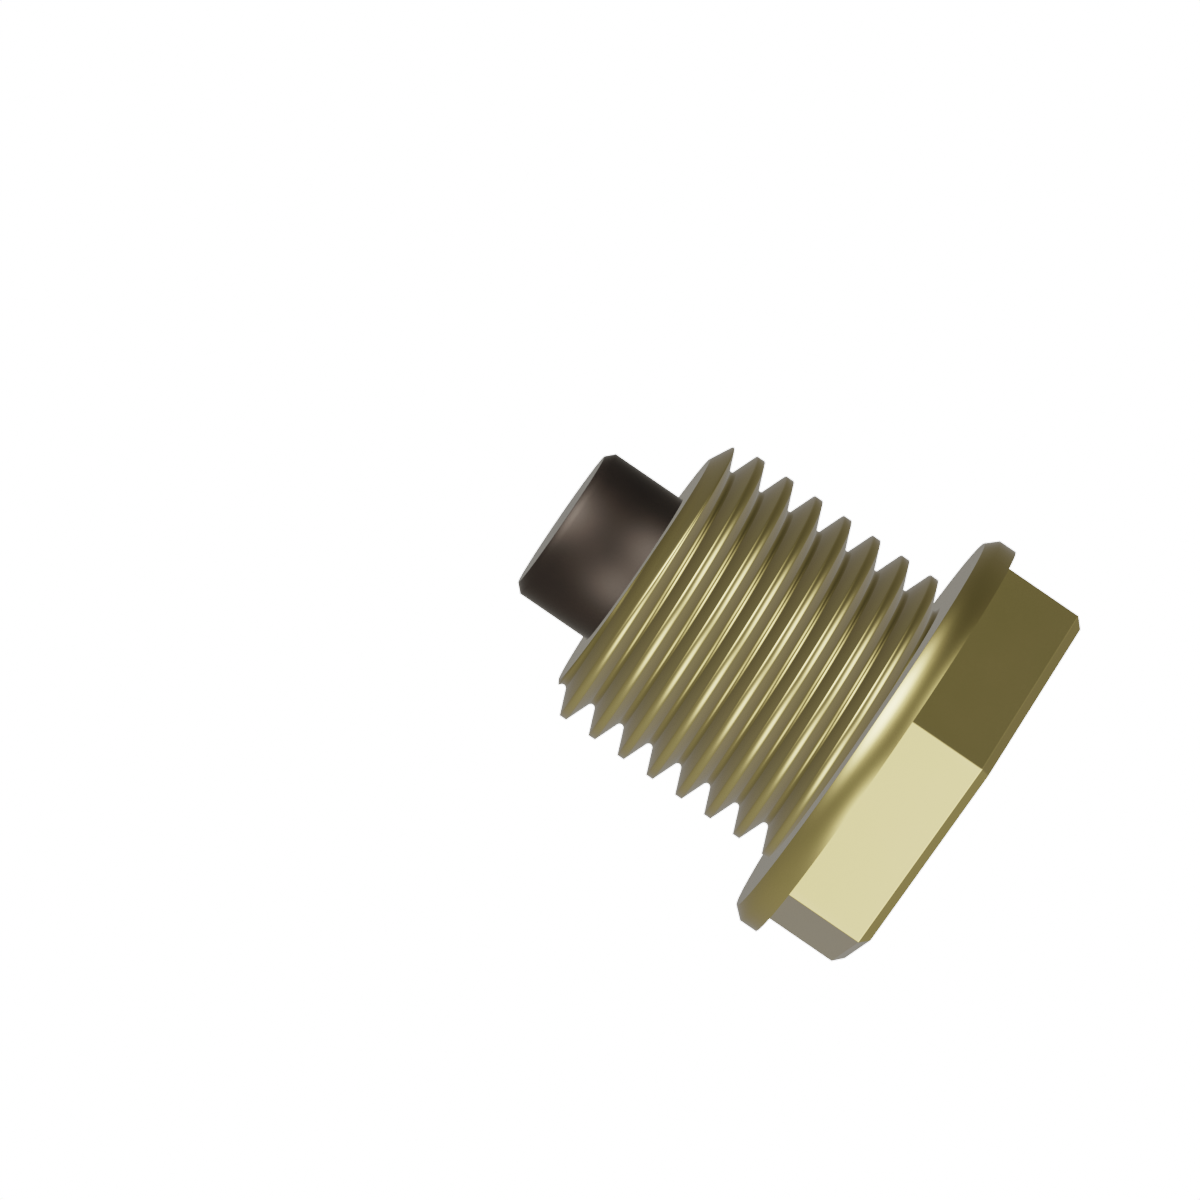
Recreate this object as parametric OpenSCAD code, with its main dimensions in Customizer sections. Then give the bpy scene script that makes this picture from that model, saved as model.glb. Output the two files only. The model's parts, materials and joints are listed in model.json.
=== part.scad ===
// Magnetic oil drain plug: a hexagon head with a flange, a threaded shank
// and a cylindrical magnet seated in a blind bore in the shank's tip.
// The plug stands on its head, +Z towards the tip.

/* [Head] */
// Size of the hexagon across its flats
hex_af = 17; // [14:0.1:17]
// Height of the hexagon, from its end face to the flange
hex_h = 4.0; // [3:0.1:9]
// Chamfer along the hexagon's end edges, the same on its side and on its end
hex_chamfer = 0.4; // [0.1:0.05:1]

/* [Flange] */
// Diameter of the flange
flange_d = 19.7; // [19.7:0.1:26]
// Thickness of the flange
flange_h = 1.3; // [1:0.1:3]
// Radial width of the chamfer round the sealing face
flange_chamfer_w = 0.45; // [0.2:0.05:0.8]
// Height of the same chamfer
flange_chamfer_h = 0.5; // [0.2:0.05:0.8]

/* [Thread] */
// Diameter over the thread's crests
thread_d = 13.95; // [12:0.05:16]
// Distance from one crest to the next
thread_pitch = 1.5; // [1.25:0.05:2]
// Depth of the groove below the crests
thread_depth = 1.21; // [0.7:0.01:1.3]
// Width of the flat on a crest
crest_w = 0.33; // [0.1:0.01:0.4]
// Width of the rounded bottom of the groove
root_w = 0.26; // [0.1:0.01:0.3]
// Depth of that rounding
root_sag = 0.06; // [0.02:0.01:0.1]
// Length of the shank, from the sealing face to its tip
shank_l = 11.75; // [8:0.25:30]
// Diameter of the tip's end face, where the lead-in cone starts
tip_d = 11.5; // [9:0.1:11.5]
// Slope of the lead-in cone, measured from the plug's axis
tip_angle = 62; // [30:1:70]
// Angle round the axis at which the crest runs out on the tip
thread_start = 91; // [0:1:359]

/* [Magnet] */
// Diameter of the magnet
magnet_d = 7.25; // [5:0.05:8]
// Length of the magnet
magnet_l = 9; // [6:0.1:11]
// Length of the magnet that stands proud of the tip
magnet_proud = 3.8; // [1:0.1:4]
// Chamfer round the magnet's two ends
magnet_chamfer = 0.35; // [0.1:0.05:0.6]
// Radial gap for the adhesive between the magnet and its bore
glue_gap = 0.03; // [0.01:0.01:0.1]

/* [Hidden] */
// Facets of the exact round shapes
$fn = 96;
// Columns of the thread's surface round the axis
thread_cols = 48;
// Depth by which each stage of the plug is rooted in the stage below it
root_depth = 0.4;
// Clearance by which a cut runs past the face it opens
cut_over = 1;

seal_z = hex_h + flange_h;
tip_z = seal_z + shank_l;
low_z = seal_z - root_depth;
crest_r = thread_d / 2;
root_r = crest_r - thread_depth;
seat_z = tip_z + magnet_proud - magnet_l;

// Radius of the thread against the distance from the middle of a crest
thread_form = [
    [0, crest_r],
    [crest_w / 2, crest_r],
    [(thread_pitch - root_w) / 2, root_r + root_sag],
    [thread_pitch / 2, root_r]
];

// Heights of the rows of one turn above the middle of its crest
flank_mid = (crest_w + thread_pitch - root_w) / 4;
turn_rows = [
    -crest_w / 2,
    crest_w / 2,
    flank_mid,
    (thread_pitch - root_w) / 2,
    thread_pitch / 2,
    (thread_pitch + root_w) / 2,
    thread_pitch - flank_mid
];
rows_per_turn = len(turn_rows);
// Turns that the rows may need past each end of the shank
spare_turns = 2;
first_turn = -ceil((tip_z - low_z) / thread_pitch) - spare_turns;
row_offsets = [
    for (turn = [first_turn:spare_turns], h = turn_rows) turn * thread_pitch + h
];
row_count = len(row_offsets);

// Height of the middle of the crest at one column, for the turn that ends at the tip
function crest_z(col) = tip_z + thread_pitch * (col / thread_cols - thread_start / 360);

// Radius of the threaded shank at one column and height, inside the lead-in cone
function shank_r(col, z) =
    let (
        u = z - crest_z(col),
        from_crest = abs(u - thread_pitch * round(u / thread_pitch)),
        cone_r = tip_d / 2 + (tip_z - z) * tan(tip_angle)
    )
    min(lookup(from_crest, thread_form), cone_r);

// Point of the surface at one column and row, held between the two ends
function shank_point(col, row) =
    let (
        z = min(max(crest_z(col) + row_offsets[row], low_z), tip_z),
        r = shank_r(col, z),
        a = 360 * col / thread_cols
    )
    [r * cos(a), r * sin(a), z];

// Last row of a column at or below the shank's root, and first row at or above its tip
function low_row(col) =
    len([for (h = row_offsets) if (crest_z(col) + h <= low_z) h]) - 1;
function high_row(col) =
    row_count - len([for (h = row_offsets) if (crest_z(col) + h >= tip_z) h]);

low_rows = [for (col = [0:thread_cols - 1]) low_row(col)];
high_rows = [for (col = [0:thread_cols - 1]) high_row(col)];

// Number of a point. A row past the last column is carried on by the next turn's row
// in the first column, and rows past an end share the end's own point.
function point_no(col, row) =
    let (
        c = col % thread_cols,
        r = col < thread_cols ? row : row + rows_per_turn
    )
    c * row_count + min(max(r, low_rows[c]), high_rows[c]);

// Keeps a triangle only if its three points differ
function real_face(a, b, c) = (a != b && b != c && c != a) ? [[a, b, c]] : [];

// Shank with one continuous right-hand thread, as a surface that follows the helix
module threaded_shank() {
    points = concat(
        [for (col = [0:thread_cols - 1], row = [0:row_count - 1]) shank_point(col, row)],
        [[0, 0, low_z], [0, 0, tip_z]]
    );
    low_centre = thread_cols * row_count;
    high_centre = low_centre + 1;
    side = [
        for (
            col = [0:thread_cols - 1],
            row = [-rows_per_turn:row_count - 2],
            face = concat(
                real_face(point_no(col, row), point_no(col, row + 1), point_no(col + 1, row + 1)),
                real_face(point_no(col, row), point_no(col + 1, row + 1), point_no(col + 1, row))
            )
        ) face
    ];
    low_cap = [
        for (col = [0:thread_cols - 1])
            [low_centre, point_no(col, -rows_per_turn), point_no(col + 1, -rows_per_turn)]
    ];
    high_cap = [
        for (col = [0:thread_cols - 1])
            [high_centre, point_no(col + 1, row_count), point_no(col, row_count)]
    ];
    polyhedron(points = points, faces = concat(side, low_cap, high_cap), convexity = 12);
}

// Hexagon with a chamfer along the edges of its end face
module hex_head() {
    corner_r = hex_af / 2 / cos(30);
    cylinder(r1 = corner_r - hex_chamfer / cos(30), r2 = corner_r, h = hex_chamfer, $fn = 6);
    translate([0, 0, hex_chamfer])
        cylinder(r = corner_r, h = hex_h - hex_chamfer, $fn = 6);
}

// Round flange, chamfered round its sealing face and rooted in the hexagon
module flange() {
    rim_r = flange_d / 2;
    rotate_extrude()
        polygon([
            [0, hex_h - root_depth],
            [crest_r, hex_h - root_depth],
            [crest_r, hex_h],
            [rim_r, hex_h],
            [rim_r, seal_z - flange_chamfer_h],
            [rim_r - flange_chamfer_w, seal_z],
            [0, seal_z]
        ]);
}

// Blind bore that the magnet seats in
module magnet_bore() {
    translate([0, 0, seat_z])
        cylinder(r = magnet_d / 2 + glue_gap, h = tip_z - seat_z + cut_over);
}

module plug_body() {
    color([0.62, 0.57, 0.36])
        difference() {
            union() {
                hex_head();
                flange();
                threaded_shank();
            }
            magnet_bore();
        }
}

module magnet() {
    r = magnet_d / 2;
    c = magnet_chamfer;
    color([0.2, 0.17, 0.15])
        translate([0, 0, seat_z])
            rotate_extrude()
                polygon([
                    [0, 0],
                    [r - c, 0],
                    [r, c],
                    [r, magnet_l - c],
                    [r - c, magnet_l],
                    [0, magnet_l]
                ]);
}

plug_body();
magnet();
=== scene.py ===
# Looks of a magnetic oil drain plug: a plated body with a thread, and a dark magnet
import json
import math
import bmesh
import bpy
import numpy as np
from mathutils import Matrix, Vector

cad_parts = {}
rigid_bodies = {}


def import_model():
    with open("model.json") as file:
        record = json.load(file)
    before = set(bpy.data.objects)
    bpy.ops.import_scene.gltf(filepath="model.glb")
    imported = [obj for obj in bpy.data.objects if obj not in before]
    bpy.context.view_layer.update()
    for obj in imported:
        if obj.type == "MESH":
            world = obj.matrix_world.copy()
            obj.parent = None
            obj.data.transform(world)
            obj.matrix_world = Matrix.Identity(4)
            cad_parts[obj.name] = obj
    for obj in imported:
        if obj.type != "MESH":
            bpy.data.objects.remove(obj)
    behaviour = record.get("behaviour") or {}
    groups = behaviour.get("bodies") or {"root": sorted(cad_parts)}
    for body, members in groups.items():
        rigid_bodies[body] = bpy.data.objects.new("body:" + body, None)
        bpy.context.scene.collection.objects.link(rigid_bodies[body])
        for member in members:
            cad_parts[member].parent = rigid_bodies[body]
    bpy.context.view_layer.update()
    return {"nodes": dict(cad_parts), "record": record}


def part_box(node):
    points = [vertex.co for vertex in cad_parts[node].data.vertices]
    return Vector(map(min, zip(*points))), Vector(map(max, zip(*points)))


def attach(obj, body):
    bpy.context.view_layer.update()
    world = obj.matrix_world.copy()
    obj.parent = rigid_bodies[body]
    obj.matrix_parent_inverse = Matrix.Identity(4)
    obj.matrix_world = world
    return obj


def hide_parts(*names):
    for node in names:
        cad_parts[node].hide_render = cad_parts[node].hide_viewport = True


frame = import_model()
mm = 0.001
tiny = 1e-7    # metres, points that are closer than this are one
mounts = {mount["name"]: mount for mount in frame["record"]["mounts"]}


# Camera: near-parallel and rolled, so that the standing plug leans as it does in the picture

view = dict(
    azimuth=292.228,      # degrees round the plug's axis from +X
    elevation=2.493,      # degrees above the floor
    roll=-55.587,         # degrees, turns the picture and not the plug
    distance=2200 * mm,
    frameWidth=51.399 * mm,   # seen across the picture at the plug
    aside=(-7.2865 * mm, 2.6696 * mm),   # from the plug's middle to the picture's, right and up
    aimHeight=10 * mm,
    sensorWidth=36.0,
    clip=(10 * mm, 20000 * mm),   # nearest and furthest that the camera sees
)


def viewAxes(azimuth, elevation, roll):
    # Right, up and backward directions of a camera that looks at the plug. Backward is the
    # direction of azimuth and elevation, and roll turns the other two about it.
    a, e, r = map(math.radians, (azimuth, elevation, roll))
    back = Vector((math.cos(e) * math.cos(a), math.cos(e) * math.sin(a), math.sin(e)))
    right = (-back).cross(Vector((0, 0, 1))).normalized()
    up = right.cross(-back)
    return (
        math.cos(r) * right + math.sin(r) * up,
        math.cos(r) * up - math.sin(r) * right,
        back,
    )


right, up, back = viewAxes(view["azimuth"], view["elevation"], view["roll"])
cameraData = bpy.data.cameras.new("camera")
cameraData.sensor_width = view["sensorWidth"]
cameraData.lens = view["sensorWidth"] * view["distance"] / view["frameWidth"]
cameraData.clip_start, cameraData.clip_end = view["clip"]
camera = bpy.data.objects.new("camera", cameraData)
place = (
    Vector((0, 0, view["aimHeight"]))
    + right * view["aside"][0]
    + up * view["aside"][1]
    + back * view["distance"]
)
camera.matrix_world = Matrix.Translation(place) @ Matrix((right, up, back)).transposed().to_4x4()
bpy.context.scene.collection.objects.link(camera)
bpy.context.scene.camera = camera
print("camera in place")


# Shapes: sheets of points in rows along a profile and columns round the axis


def roundedPath(corners, radii, steps, guard=0.02 * mm):
    # Straight lines whose inner corners become arcs of the given radii, which touch both
    # lines. A guard point stands a little way down the line on each side of an arc, so that
    # the lines stay flat.
    corners = np.asarray(corners, float)
    parts = [corners[:1]]
    for before, corner, after, radius in zip(corners, corners[1:], corners[2:], radii):
        if radius == 0:
            parts.append(corner[None])
            continue
        inward = (before - corner) / np.linalg.norm(before - corner)
        onward = (after - corner) / np.linalg.norm(after - corner)
        half = math.acos(np.clip(inward @ onward, -1, 1)) / 2
        turn = math.pi - 2 * half
        middle = (inward + onward) / np.linalg.norm(inward + onward)
        centre = corner + middle * radius / math.sin(half)
        start = corner + inward * radius / math.tan(half)
        end = corner + onward * radius / math.tan(half)
        t = np.linspace(0, 1, steps + 1)[:, None]
        arc = centre + (
            np.sin((1 - t) * turn) * (start - centre) + np.sin(t * turn) * (end - centre)
        ) / math.sin(turn)
        parts += [start[None] + inward * guard, arc, end[None] + onward * guard]
    parts.append(corners[-1:])
    return np.vstack(parts)


def atAngles(radius, angles, height):
    # Points at (radius cos angle, radius sin angle, height)
    return np.stack(
        np.broadcast_arrays(radius * np.cos(angles), radius * np.sin(angles), height), -1
    )


def revolve(profile, angles):
    # Each (radius, height) of the profile carried round the axis
    return atAngles(profile[:, :1], angles, profile[:, 1:])


def moveOut(loop, step):
    # The loop's points moved away from the axis by the step
    reach = np.linalg.norm(loop[..., :2], axis=-1, keepdims=True)
    return np.concatenate([loop[..., :2] * (1 + step / reach), loop[..., 2:]], -1)


def fading(distance, width):
    # 1 at no distance, falling evenly to 0 at the width
    return np.clip(1 - distance / width, 0, 1)


def sheetFaces(rows, columns, shift):
    # Quads between neighbouring rows and columns. Past the last column a row goes on as
    # the row that stands shift rows further in the first column.
    row, column = np.meshgrid(np.arange(rows - 1), np.arange(columns), indexing="ij")
    nextColumn = (column + 1) % columns
    step = np.where(column == columns - 1, shift, 0)
    near = np.minimum(row + step, rows - 1)
    far = np.minimum(row + 1 + step, rows - 1)
    corners = (
        row * columns + column,
        near * columns + nextColumn,
        far * columns + nextColumn,
        (row + 1) * columns + column,
    )
    return np.stack(corners, -1).reshape(-1, 4)


def closedPiece(name, sheets, sharpAngle):
    # Joins sheets of (points, values by name, shift) into one piece without seams
    points, faces, start = [], [], 0
    for grid, values, shift in sheets:
        rows, columns = grid.shape[:2]
        points.append(grid.reshape(-1, 3))
        faces.append(sheetFaces(rows, columns, shift) + start)
        start += rows * columns
    mesh = bpy.data.meshes.new(name)
    mesh.from_pydata(np.vstack(points), [], np.vstack(faces))
    for key in sheets[0][1]:
        spread = [
            np.broadcast_to(values[key], grid.shape[:2]).ravel() for grid, values, shift in sheets
        ]
        layer = mesh.attributes.new(key, "FLOAT", "POINT")
        layer.data.foreach_set("value", np.concatenate(spread).astype(np.float32))
    work = bmesh.new()
    work.from_mesh(mesh)
    bmesh.ops.remove_doubles(work, verts=work.verts, dist=tiny)
    work.to_mesh(mesh)
    work.free()
    mesh.shade_smooth()
    mesh.set_sharp_from_angle(angle=math.radians(sharpAngle))
    piece = bpy.data.objects.new(name, mesh)
    bpy.context.scene.collection.objects.link(piece)
    return piece


# Plug body: head, flange, thread and bore in one closed surface

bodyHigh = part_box("plug_body")[1]
magnetLow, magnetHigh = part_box("magnet")
body = dict(
    apothem=8.5 * mm,             # half of the hexagon's size across its flats
    hexHeight=mounts["spanner_hexagon"]["dims"]["length_mm"] * mm,
    hexChamfer=0.4 * mm,
    hexRounding=0.05 * mm,        # of the hexagon's edges
    edgeRounding=0.02 * mm,       # of the edge round the sealing face
    flangeRadius=bodyHigh.x,
    flangeChamfer=(0.45 * mm, 0.5 * mm),   # inward and down from the sealing face
    flangeFlat=0.6 * mm,          # width of the flat faces next to the rim
    sealZ=mounts["sealing_face"]["pos_m"][2],
    tipZ=bodyHigh.z,
    boreGap=0.03 * mm,
    boreRounding=0.06 * mm,
    boreFlat=0.5 * mm,            # width of the flat face round the bore
    faceGuard=0.03 * mm,          # width of the flat faces that are kept flat by the thread
    arcSteps=3,                   # in each rounding
    sectorColumns=27,             # columns in each sixth of a turn
    cornerColumns=(0, 0.34, 0.68, 1.0, 1.9),   # close ones, by the width of a corner's rounding
    sharpAngle=44,                # degrees, edges that turn further shade as sharp
    cornerWear=0.25 * mm,         # how far the hexagon's corners are rubbed
    chamferWear=(0.15 * mm, 0.6),   # how far its chamfer's edge is rubbed, and how much
    sealWear=(0.1 * mm, 0.5),     # and the same of the sealing face's edge
)
thread = dict(
    crestRadius=mounts["thread"]["dims"]["r_mm"] * mm,
    pitch=1.5 * mm,
    # From the middle of a crest to the middle of the groove: height and the slope in degrees
    # that it shades with. The crest shades as a low dome and its form is flat.
    slopes=(
        (0, 0),
        (0.095, 14.5),
        (0.148, 29),
        (0.212, 68.2),    # the shoulder turns into the straight flank
        (0.597, 68.2),
        (0.615, 53),
        (0.75, 0),        # round bottom of the groove
    ),
    flankStart=3,                 # which of them starts the straight flank, from 0
    rows=(4, 3, 4, 9, 1, 4),      # rows of points between those heights
    fineSteps=2000,               # for summing up the slopes
    spareTurns=2,                 # past each end, pressed flat on the faces there
    tipRadius=5.75 * mm,          # where the lead-in cone starts
    coneAngle=62,                 # degrees, of that cone from the axis
    coneBlend=0.13 * mm,          # softens the edge between the cone and the thread
    startAngle=95.5,              # degrees round the axis, where the crest runs out on the tip
    insideRadius=5 * mm,          # the thread's faces are all outside of this
    # The crest's rubbed part is lighter: partly worn plating, partly a painted highlight
    crestWearAndHighlight=0.12 * mm,          # of the crest that is rubbed
    # Painted shade: the groove's colour darkens where its flanks shade it
    paintedShadeReach=(0.15 * mm, 0.45 * mm),   # full, and none, from the middle of the groove
)


def hexagonRadius(angles, apothem, rounding):
    # Distance from the axis to a hexagon with rounded corners: a flat's distance over the
    # cosine of the angle from its middle, and near a corner the far side of the corner's arc
    fromCorner = (angles + math.pi / 6) % (math.pi / 3) - math.pi / 6
    reach = (apothem - rounding) / math.cos(math.pi / 6)
    touch = np.arctan2(rounding / 2, reach + rounding * math.cos(math.pi / 6))
    flat = apothem / np.cos(math.pi / 6 - np.abs(fromCorner))
    inside = np.maximum(rounding**2 - (reach * np.sin(fromCorner)) ** 2, 0)
    return np.where(np.abs(fromCorner) < touch, reach * np.cos(fromCorner) + np.sqrt(inside), flat)


def bodyColumns():
    # Angles of the columns: even ones, and close ones round each corner of the hexagon
    sixth = math.pi / 3
    reach = body["apothem"] / math.cos(math.pi / 6)
    close = body["hexRounding"] / 2 / reach * np.array(body["cornerColumns"])
    even = np.linspace(0, sixth, body["sectorColumns"])[1:-1]
    sector = np.concatenate([close, even, sixth - close[:0:-1]])
    return (np.arange(6)[:, None] * sixth + sector).ravel()


def headSheet(angles):
    # The end face, the chamfer and the flats as a path of (inset, height), carried round at
    # the radius of a hexagon whose apothem is less by the inset
    apothem, chamfer = body["apothem"], body["hexChamfer"]
    path = roundedPath(
        [(apothem, 0), (chamfer, 0), (0, chamfer), (0, body["hexHeight"])],
        [body["hexRounding"]] * 2,
        body["arcSteps"],
    )
    inset, height = path[:, :1], path[:, 1:]
    outside = inset < apothem / 2
    rounding = np.where(outside, body["hexRounding"], 0)
    grid = atAngles(hexagonRadius(angles, apothem - inset, rounding), angles, height)
    fromCorner = np.abs((angles + math.pi / 6) % (math.pi / 3) - math.pi / 6)
    width, share = body["chamferWear"]
    wear = np.maximum(
        fading(fromCorner * apothem, body["cornerWear"]) * outside,
        fading(np.abs(height - chamfer), width) * share,
    )
    return grid, dict(wear=wear, grime=0, drawn=1), 0


def flangeSheet(angles):
    # The outer part of the underside, the rim, its chamfer and the outer part of the sealing
    # face, as a path of (radius, height) carried round
    rim, seal, flat = body["flangeRadius"], body["sealZ"], body["flangeFlat"]
    inward, down = body["flangeChamfer"]
    path = roundedPath(
        [
            (rim - flat, body["hexHeight"]),
            (rim, body["hexHeight"]),
            (rim, seal - down),
            (rim - inward, seal),
            (rim - inward - flat, seal),
        ],
        [0, 0, body["edgeRounding"]],
        body["arcSteps"],
    )
    width, share = body["sealWear"]
    wear = fading(np.abs(path[:, 1:] - seal), width) * share
    return revolve(path, angles), dict(wear=wear, grime=0, drawn=0), 0


def boreSheet(angles):
    # The inner part of the tip's face, the bore's wall and its bottom, as a path of
    # (radius, height) carried round
    bore, tip, bottom = magnetHigh.x + body["boreGap"], body["tipZ"], magnetLow.z
    path = roundedPath(
        [(bore + body["boreFlat"], tip), (bore, tip), (bore, bottom), (0, bottom)],
        [body["boreRounding"], 0],
        body["arcSteps"],
    )
    return revolve(path, angles), dict(wear=0, grime=0, drawn=0), 0


slopeHeights = np.array([height for height, slope in thread["slopes"]]) * mm
slopeAngles = np.radians([slope for height, slope in thread["slopes"]])


def steepness(height):
    # Tangent of the thread's slope at a height from the middle of the crest. The sines and
    # cosines of the slopes given are mixed by height.
    return np.interp(height, slopeHeights, np.sin(slopeAngles)) / np.interp(
        height, slopeHeights, np.cos(slopeAngles)
    )


def threadForm():
    # Rows of one turn: heights from the middle of a crest to the middle of the next one, the
    # radius at each, and the radius of the dome that the crest shades as. The dome falls by
    # the slope's tangent summed over the height. The form follows the flank's straight line
    # up to the crest's corner instead, and is flat from there.
    fine = np.linspace(0, slopeHeights[-1], thread["fineSteps"] + 1)
    fall = steepness(fine)
    drop = np.concatenate([[0], np.cumsum((fall[1:] + fall[:-1]) / 2 * np.diff(fine))])
    flankTop = slopeHeights[thread["flankStart"]]
    steep = steepness(flankTop)
    corner = flankTop - np.interp(flankTop, fine, drop) / steep
    runs = [
        np.linspace(low, high, count + 1)[:-1]
        for low, high, count in zip(slopeHeights, slopeHeights[1:], thread["rows"])
    ]
    half = np.sort(np.concatenate([*runs, slopeHeights[-1:], [corner]]))
    domeDrop = np.interp(half, fine, drop)
    formDrop = np.where(half < flankTop, np.maximum(half - corner, 0) * steep, domeDrop)
    heights = np.concatenate([half, thread["pitch"] - half[-2::-1]])
    form, dome = (
        thread["crestRadius"] - np.concatenate([fallen, fallen[-2::-1]])
        for fallen in (formDrop, domeDrop)
    )
    return heights, form, dome


formHeight, formRadius, domeRadius = threadForm()


def crestHeight(angles):
    # Height of the crest's helix at each angle, for the turn that ends at the tip
    turn = angles / (2 * math.pi) - thread["startAngle"] / 360
    return body["tipZ"] + thread["pitch"] * turn


def leadIn(radius, z):
    # Radius held under the lead-in cone with a soft edge, and the share of its own slope that
    # is left. With gap = radius - cone and soft = sqrt(gap^2 + blend^2) they are
    # (radius + cone - soft) / 2 and (1 - gap / soft) / 2.
    cone = thread["tipRadius"] + (body["tipZ"] - z) * math.tan(math.radians(thread["coneAngle"]))
    gap = radius - cone
    soft = np.sqrt(gap**2 + thread["coneBlend"] ** 2)
    return (radius + cone - soft) / 2, (1 - gap / soft) / 2


def threadSheet(angles):
    # Height = the crest's helix + the row's height above it, held between the sealing face
    # and the tip. Radius = the thread's form there, or the lead-in cone where that is less.
    # Each turn's rows go on as the next turn's past the last column.
    pitch, spare = thread["pitch"], thread["spareTurns"]
    crestZ = crestHeight(angles)
    turns = math.ceil((body["tipZ"] - body["sealZ"]) / pitch)
    starts = np.arange(-turns - spare, spare + 1) * pitch
    offsets = (starts[:, None] + formHeight[:-1]).ravel()
    z = np.clip(crestZ + offsets[:, None], body["sealZ"], body["tipZ"])
    fromCrest = (z - crestZ) % pitch
    dome = np.interp(fromCrest, formHeight, domeRadius)
    # Crest lighter where rubbed: partly wear, partly a painted highlight along the crest
    wear = fading(thread["crestRadius"] - dome, thread["crestWearAndHighlight"])
    # Painted shade: darker colour towards the bottom of the groove, where shade falls
    full, none = thread["paintedShadeReach"]
    grime = np.clip((none - np.abs(fromCrest - pitch / 2)) / (none - full), 0, 1)
    radius = leadIn(np.interp(fromCrest, formHeight, formRadius), z)[0]
    values = dict(wear=wear, grime=grime, drawn=0)
    return atAngles(radius, angles, z), values, len(formHeight) - 1


def shadeThread(mesh):
    # Normals of the thread's faces: outward - upward * dr/dz - onward * dr/da / r, where the
    # thread's part of dr/dz is the tangent of its shading slope and of dr/da is that times
    # the helix's rise per radian
    points, faces = len(mesh.vertices), len(mesh.polygons)
    spots, centres = np.empty(points * 3), np.empty(faces * 3)
    sides, owner = np.empty(faces, int), np.empty(len(mesh.loops), int)
    mesh.vertices.foreach_get("co", spots)
    mesh.polygons.foreach_get("center", centres)
    mesh.polygons.foreach_get("loop_total", sides)
    mesh.loops.foreach_get("vertex_index", owner)
    x, y, z = spots.reshape(-1, 3).T
    around = np.arctan2(y, x)
    pitch = thread["pitch"]
    fromCrest = (z - crestHeight(around)) % pitch
    steep = steepness(np.minimum(fromCrest, pitch - fromCrest))
    steep = np.where(fromCrest < pitch / 2, -steep, steep)
    radius, share = leadIn(np.interp(fromCrest, formHeight, formRadius), z)
    cone = -math.tan(math.radians(thread["coneAngle"]))
    rise = share * steep + (1 - share) * cone
    turn = -share * steep * pitch / (2 * math.pi) / radius
    cos, sin = np.cos(around), np.sin(around)
    normals = np.stack([cos + turn * sin, sin - turn * cos, -rise], -1)
    normals /= np.linalg.norm(normals, axis=1, keepdims=True)

    # Its faces lie between the sealing face and the tip. The others keep their own normals.
    cx, cy, cz = centres.reshape(-1, 3).T
    reach = np.hypot(cx, cy)
    onThread = (cz > body["sealZ"] + tiny) & (cz < body["tipZ"] - tiny)
    onThread &= (reach > thread["insideRadius"]) & (reach < thread["crestRadius"] + tiny)
    mesh.normals_split_custom_set(normals[owner] * np.repeat(onThread, sides)[:, None])


def makeBody():
    # Sheets from the end face to the bore's bottom, with flat faces that join them
    angles = bodyColumns()
    head, flange, coil, bore = (
        sheet(angles) for sheet in (headSheet, flangeSheet, threadSheet, boreSheet)
    )
    foot, tip = coil[0][:1], coil[0][-1:]
    guard = body["faceGuard"]
    under, face, end = (
        (np.concatenate(loops), dict(wear=0, grime=0, drawn=0), 0)
        for loops in (
            (head[0][-1:], flange[0][:1]),
            (flange[0][-1:], moveOut(foot, guard), foot),
            (tip, moveOut(tip, -guard), bore[0][:1]),
        )
    )
    sheets = [head, under, flange, face, coil, end, bore]
    piece = closedPiece("plugBody", sheets, body["sharpAngle"])
    shadeThread(piece.data)
    return piece


plugBody = makeBody()
print("plug body:", len(plugBody.data.vertices), "points")


# Magnet: a cylinder with chamfered ends, its foot in the bore

magnet = dict(
    radius=magnetHigh.x,
    chamfer=0.35 * mm,
    rounding=0.04 * mm,
    arcSteps=4,
    columns=192,
    sideRows=24,
    sharpAngle=50,
    wearAndHighlightReach=0.8,        # how far the top chamfer is rubbed from its middle, by its size
    topTilt=25.7,         # degrees that the shading leans towards the end at the side's top
    footTilt=-31.7,       # and at the foot, so that the side shades like a soft barrel
    footHeight=15.4 * mm,
)


def makeMagnet():
    # The foot, the side and the top as a path of (radius, height) carried round
    r, c = magnet["radius"], magnet["chamfer"]
    low, high = magnetLow.z, magnetHigh.z
    rounding, steps = [magnet["rounding"]], magnet["arcSteps"]
    foot = roundedPath([(0, low), (r - c, low), (r, low + c)], rounding, steps)
    side = np.linspace(low + c, high - c, magnet["sideRows"] + 1)
    top = roundedPath([(r, high - c), (r - c, high), (0, high)], rounding, steps)
    path = np.vstack([foot[:-1], np.stack([np.full_like(side, r), side], -1), top[1:]])
    angles = np.arange(magnet["columns"]) * 2 * math.pi / magnet["columns"]
    # Top chamfer lighter where rubbed: partly wear, partly a painted highlight
    wear = fading(np.abs(path[:, 1:] - (high - c / 2)), c * magnet["wearAndHighlightReach"])
    ground = (path[:, :1] < r - c) * 1.0
    sheet = (revolve(path, angles), dict(wear=wear, ground=ground), 0)
    piece = closedPiece("magnetSlug", [sheet], magnet["sharpAngle"])
    shadeMagnet(piece.data)
    return piece


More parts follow.
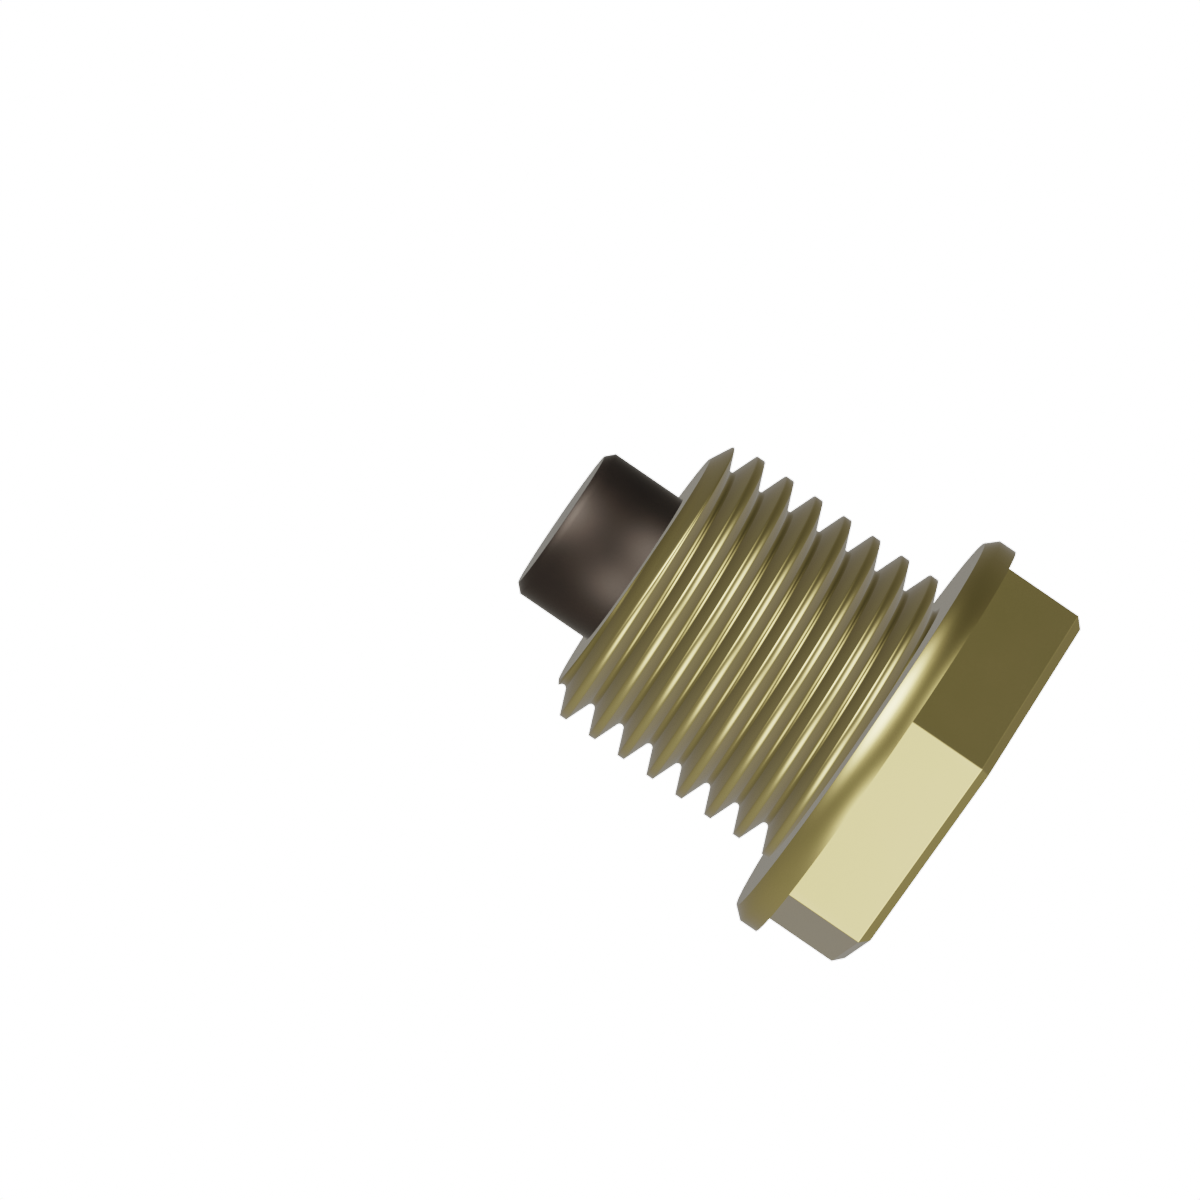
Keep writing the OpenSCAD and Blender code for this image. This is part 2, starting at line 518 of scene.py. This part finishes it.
def shadeMagnet(mesh):
    # Normals of the side: those of its foot and top mixed by height
    spots = np.empty(len(mesh.vertices) * 3)
    mesh.vertices.foreach_get("co", spots)
    x, y, z = spots.reshape(-1, 3).T
    foot, top = magnet["footHeight"], magnetHigh.z - magnet["chamfer"]
    footTilt, topTilt = math.radians(magnet["footTilt"]), math.radians(magnet["topTilt"])
    along = np.clip((z - foot) / (top - foot), 0, 1)
    outward = math.cos(footTilt) * (1 - along) + math.cos(topTilt) * along
    upward = math.sin(footTilt) * (1 - along) + math.sin(topTilt) * along
    around = np.arctan2(y, x)
    normals = np.stack([outward * np.cos(around), outward * np.sin(around), upward], -1)
    normals /= np.linalg.norm(normals, axis=1, keepdims=True)
    onSide = (np.hypot(x, y) > magnet["radius"] - tiny) & (z > foot)
    mesh.normals_split_custom_set_from_vertices(normals * onSide[:, None])


magnetSlug = makeMagnet()
print("magnet:", len(magnetSlug.data.vertices), "points")


# Materials


class Wire:
    # One output socket of a node. Arithmetic on wires adds Math nodes, and make() adds any
    # other node: its settings first, then the values or links of its sockets.
    def __init__(self, tree, node=None, output=0):
        self.tree, self.node = tree, node
        self.socket = node.outputs[output] if node and node.outputs else None

    def make(self, kind, settings=None, sockets=None, output=0):
        node = self.tree.nodes.new(kind)
        for key, value in (settings or {}).items():
            if key == "stops":
                ramp = node.color_ramp
                while len(ramp.elements) < len(value):
                    ramp.elements.new(0.5)
                for element, (position, colour) in zip(ramp.elements, value):
                    element.position, element.color = position, (*colour, 1)
            else:
                setattr(node, key, value)
        for key, value in (sockets or {}).items():
            if isinstance(value, Wire):
                self.tree.links.new(value.socket, node.inputs[key])
            else:
                node.inputs[key].default_value = value
        return Wire(self.tree, node, output)

    def output(self, name):
        return Wire(self.tree, self.node, name)

    def math(self, operation, *terms):
        return self.make("ShaderNodeMath", {"operation": operation}, dict(enumerate(terms)))

    def clamp(self):
        return self.make("ShaderNodeClamp", {}, {0: self})

    def __add__(self, other):
        return self.math("ADD", self, other)

    def __radd__(self, other):
        return self.math("ADD", other, self)

    def __sub__(self, other):
        return self.math("SUBTRACT", self, other)

    def __rsub__(self, other):
        return self.math("SUBTRACT", other, self)

    def __rtruediv__(self, other):
        return self.math("DIVIDE", other, self)

    def __mul__(self, other):
        return self.math("MULTIPLY", self, other)

    def __rmul__(self, other):
        return self.math("MULTIPLY", other, self)


def newMaterial(name):
    # An empty material, and a wire that its nodes are made from
    material = bpy.data.materials.new(name)
    material.use_nodes = True
    material.node_tree.nodes.clear()
    return material, Wire(material.node_tree)


def placeInMm(tree):
    # The piece's own coordinates in millimetres
    place = tree.make("ShaderNodeTexCoord").output("Object")
    return stretch(place, (1000, 1000, 1000))


def stretch(place, scale):
    # Coordinates times the scale along each axis
    return place.make("ShaderNodeMapping", {}, {"Vector": place, "Scale": scale})


def pointValue(tree, name):
    # What closedPiece() wrote on the piece's points under this name
    return tree.make("ShaderNodeAttribute", {"attribute_name": name}).output("Fac")


def noise(place, scale, detail):
    # Values from 0 to 1 that change smoothly over 1 / scale, with finer ones on top
    sockets = {"Vector": place, "Scale": scale, "Detail": detail}
    return place.make("ShaderNodeTexNoise", {}, sockets)


def colourRamp(factor, stops):
    return factor.make("ShaderNodeValToRGB", {"stops": stops}, {"Fac": factor})


def mixColour(factor, first, second):
    # The first colour's wire mixed towards the second, a plain colour
    sockets = {0: factor, 6: first, 7: (*second, 1)}
    return first.make("ShaderNodeMix", {"data_type": "RGBA"}, sockets, output=2)


def filmedSurface(finish, colour, roughness, relief):
    # A surface with fine relief under a thin clear film
    bump = relief.make(
        "ShaderNodeBump",
        {},
        {"Height": relief, "Strength": finish["bumpStrength"], "Distance": finish["bumpDepth"]},
    )
    shader = colour.make(
        "ShaderNodeBsdfPrincipled",
        {},
        {
            "Base Color": colour,
            "Metallic": finish["metallic"],
            "Roughness": roughness,
            "Normal": bump,
            "Specular Tint": (*finish["edgeTint"], 1),
            "Coat Weight": 1.0,
            "Coat IOR": finish["filmIor"],
            "Coat Roughness": finish["filmRoughness"],
        },
    )
    shader.make("ShaderNodeOutputMaterial", {}, {"Surface": shader})


plating = dict(
    # Green, yellow and straw, and the value of the mottle that each one belongs to
    tints=(
        (0.3, (0.69, 0.617, 0.312)),
        (0.5, (0.70, 0.62, 0.318)),
        (0.7, (0.71, 0.623, 0.324)),
    ),
    # Lighter colour of rubbed edges and crests: partly worn plating, partly a painted highlight
    wornAndHighlight=(0.73, 0.65, 0.36),
    wornAndHighlightCover=(0.35, 0.5),         # on rubbed edges, and what the specks add to that
    # Painted shade: dark colour for the bottom of the thread's groove, and how much of it
    grime=(0.28, 0.24, 0.13),      # in the bottom of the thread's groove
    paintedShadeCover=0.36,
    metallic=1.0,
    edgeTint=(0.915, 0.885, 0.905),   # of what the metal reflects at a glancing angle
    roughness=0.15,
    mottleRoughness=0.08,          # how far each pattern changes the roughness
    speckRoughness=0.05,
    wornSmoother=0.05,
    filmIor=1.09,                  # of the film, which greys the metal at a glancing angle
    filmRoughness=0.08,
    mottleScale=0.4,               # per millimetre, as the scales below are
    speckScale=9,
    turningScale=7,
    drawnScale=6,
    drawnStretch=(1, 1, 0.04),     # draws that noise out along the axis
    turningRelief=0.6,             # share of each pattern in the relief
    drawnRelief=0.5,
    speckRelief=0.25,
    bumpStrength=0.5,
    bumpDepth=0.0012 * mm,
)


def platedSteel():
    # Yellow plating, mottled, speckled, rubbed lighter at edges, painted shade in the groove
    material, tree = newMaterial("platedSteel")
    inMm = placeInMm(tree)
    wear, grime, drawn = (pointValue(tree, name) for name in ("wear", "grime", "drawn"))
    mottle = noise(inMm, plating["mottleScale"], 3.0)
    speck = noise(inMm, plating["speckScale"], 2.0)
    least, speckled = plating["wornAndHighlightCover"]
    # Rubbed edges and crests turn lighter: partly wear, partly a painted highlight
    rubbedAndHighlight = (wear * (least + speck * speckled)).clamp()
    colour = mixColour(rubbedAndHighlight, colourRamp(mottle, plating["tints"]), plating["wornAndHighlight"])
    # Painted shade: darker towards the bottom of the thread's groove
    colour = mixColour(grime * plating["paintedShadeCover"], colour, plating["grime"])

    # Turning lines run round the axis, and drawn lines run up the hexagon's flats
    axes = tree.make("ShaderNodeSeparateXYZ", {}, {0: inMm})
    x, y, z = (axes.output(name) for name in "XYZ")
    radius = tree.math("SQRT", x * x + y * y)
    across = tree.make("ShaderNodeCombineXYZ", {}, {0: radius, 1: z})
    turned = noise(across, plating["turningScale"], 1.0) * (1 - drawn)
    lines = noise(stretch(inMm, plating["drawnStretch"]), plating["drawnScale"], 2.0) * drawn
    relief = turned * plating["turningRelief"] + lines * plating["drawnRelief"]
    relief = relief + speck * plating["speckRelief"]

    roughness = plating["roughness"] + (mottle - 0.5) * plating["mottleRoughness"]
    roughness = roughness + (speck - 0.5) * plating["speckRoughness"]
    roughness = roughness - rubbedAndHighlight * plating["wornSmoother"]
    filmedSurface(plating, colour, roughness, relief)
    return material


darkCoat = dict(
    # Black and brown, and the value of the clouds that each one belongs to
    tints=((0.35, (0.124, 0.109, 0.102)), (0.65, (0.132, 0.113, 0.105))),
    # Lighter colour of the rubbed chamfer: partly wear, partly a painted highlight
    wornAndHighlight=(0.16, 0.14, 0.13),
    wornAndHighlightCover=(0.2, 0.6),          # on the rubbed chamfer, and what the grain adds to that
    metallic=0.93,
    edgeTint=(1, 1, 1),
    roughness=0.44,
    cloudRoughness=0.1,
    grainRoughness=0.06,
    groundSmoother=0.25,           # less rough on the ground end faces
    filmIor=1.15,
    filmRoughness=0.08,
    cloudScale=0.5,                # per millimetre
    grainScale=12,
    bumpStrength=0.4,
    bumpDepth=0.001 * mm,
)


def sinteredMagnet():
    # Dark, clouded and fine-grained, with smoother ground ends and a rubbed chamfer
    material, tree = newMaterial("sinteredMagnet")
    inMm = placeInMm(tree)
    wear, ground = pointValue(tree, "wear"), pointValue(tree, "ground")
    cloud = noise(inMm, darkCoat["cloudScale"], 3.0)
    grain = noise(inMm, darkCoat["grainScale"], 2.0)
    least, grained = darkCoat["wornAndHighlightCover"]
    # The rubbed chamfer turns lighter: partly wear, partly a painted highlight
    rubbedAndHighlight = (wear * (least + grain * grained)).clamp()
    colour = mixColour(rubbedAndHighlight, colourRamp(cloud, darkCoat["tints"]), darkCoat["wornAndHighlight"])
    roughness = darkCoat["roughness"] + (cloud - 0.5) * darkCoat["cloudRoughness"]
    roughness = roughness + (grain - 0.5) * darkCoat["grainRoughness"]
    roughness = roughness - ground * darkCoat["groundSmoother"]
    filmedSurface(darkCoat, colour, roughness, grain)
    return material


for piece, node, slot, material in (
    (plugBody, "plug_body", "plated_steel", platedSteel()),
    (magnetSlug, "magnet", "magnet", sinteredMagnet()),
):
    piece.data.materials.append(material)
    frame["nodes"][node].data.materials.clear()
    frame["nodes"][node].data.materials.append(material)
    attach(piece, "root")
    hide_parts(node)
print("materials on the pieces")


# Stage: a white floor in a dim room with three large soft lamps

studio = dict(
    floorSize=4.0,
    floorGap=0.02 * mm,            # keeps the floor and the head's end face apart
    paper=2.0,                     # just white, so the ground stays white to the plug's edges
    tint=(1.03, 1.0, 0.93),
    roomLevel=0.168,
    roomSlope=0.073,               # less light per step up the picture
    roomDepth=0.013,               # and towards the camera
    # Degrees right of the camera and above it as the picture shows them, the angle from its
    # middle at which a lamp is down to half, how many degrees its edge takes, and its level
    lamps=dict(
        left=dict(aside=-54.4, above=40.7, reach=18.6, edge=7.4, level=2.43),
        right=dict(aside=47.1, above=3.8, reach=23.5, edge=7.2, level=1.39),
        low=dict(aside=0.9, above=-43.0, reach=22.6, edge=7.2, level=1.17),
    ),
    film=(2.51, 0.03, 2.43, 0.59, 0.14),   # of filmTone()'s formula, in its order
    filmSpots=(0, 0.02, 0.05, 0.1, 0.18, 0.3, 0.45, 0.65, 0.9, 1.2, 1.55, 1.8, 2.0),
)


def paperFloor():
    # A level square that glows evenly and is clear from below
    mesh = bpy.data.meshes.new("floor")
    half = studio["floorSize"] / 2
    low = -studio["floorGap"]
    corners = [(-half, -half, low), (half, -half, low), (half, half, low), (-half, half, low)]
    mesh.from_pydata(corners, [], [(0, 1, 2, 3)])
    material, tree = newMaterial("whitePaper")
    glow = tree.make("ShaderNodeEmission", {}, {"Strength": studio["paper"]})
    clear = tree.make("ShaderNodeBsdfTransparent")
    under = tree.make("ShaderNodeNewGeometry").output("Backfacing")
    paper = tree.make("ShaderNodeMixShader", {}, {0: under, 1: glow, 2: clear})
    tree.make("ShaderNodeOutputMaterial", {}, {"Surface": paper})
    mesh.materials.append(material)
    floor = bpy.data.objects.new("floor", mesh)
    bpy.context.scene.collection.objects.link(floor)
    floor.visible_glossy = floor.visible_diffuse = floor.visible_shadow = False


def softRoom():
    # Level of light from each direction: the room's slope plus each lamp, which is its level
    # over 1 + e^((angle from its middle - reach) / edge), so that it fades out smoothly
    world = bpy.data.worlds.new("room")
    world.use_nodes = True
    world.node_tree.nodes.clear()
    tree = Wire(world.node_tree)
    direction = tree.make("ShaderNodeTexCoord").output("Generated")

    def facing(vector):
        return tree.make(
            "ShaderNodeVectorMath",
            {"operation": "DOT_PRODUCT"},
            {0: direction, 1: tuple(vector)},
            output="Value",
        )

    level = studio["roomLevel"] - facing(up) * studio["roomSlope"]
    level = level - facing(back) * studio["roomDepth"]
    for lamp in studio["lamps"].values():
        a, e = math.radians(lamp["aside"]), math.radians(lamp["above"])
        middle = right * math.cos(e) * math.sin(a) + up * math.sin(e)
        middle += back * math.cos(e) * math.cos(a)
        angle = tree.math("ARCCOSINE", facing(middle))
        edge = math.radians(lamp["edge"])
        growth = tree.math("EXPONENT", (angle - math.radians(lamp["reach"])) * (1 / edge))
        level = level + lamp["level"] / (growth + 1)
    background = "ShaderNodeBackground"
    glowing = tree.make(background, {}, {"Color": (*studio["tint"], 1), "Strength": level})
    white = tree.make(background, {}, {"Color": (1, 1, 1, 1), "Strength": studio["paper"]})
    seen = tree.make("ShaderNodeLightPath").output("Is Camera Ray")
    mix = tree.make("ShaderNodeMixShader", {}, {0: seen, 1: glowing, 2: white})
    tree.make("ShaderNodeOutputWorld", {}, {"Surface": mix})
    bpy.context.scene.world = world


def filmTone():
    # Film-like tones: each light value x shows as x(ax + b) / (x(cx + d) + e), and what is at
    # the top value or above it as white
    look = bpy.context.scene.view_settings
    look.view_transform = "Standard"
    look.use_curve_mapping = True
    curves = look.curve_mapping
    top = studio["filmSpots"][-1]
    curves.white_level = (top, top, top)
    line = curves.curves[3]    # the one for all three colours
    while len(line.points) < len(studio["filmSpots"]):
        line.points.new(0.5, 0.5)
    a, b, c, d, e = studio["film"]
    for point, x in zip(line.points, studio["filmSpots"]):
        shown = x * (a * x + b) / (x * (c * x + d) + e)
        point.location = (x / top, shown if x < top else 1)
        point.handle_type = "AUTO_CLAMPED"
    curves.update()


paperFloor()
softRoom()
filmTone()
for piece in (plugBody, magnetSlug):   # they don't show in each other's reflections
    piece.visible_glossy = piece.visible_shadow = False
print("stage and lights set")
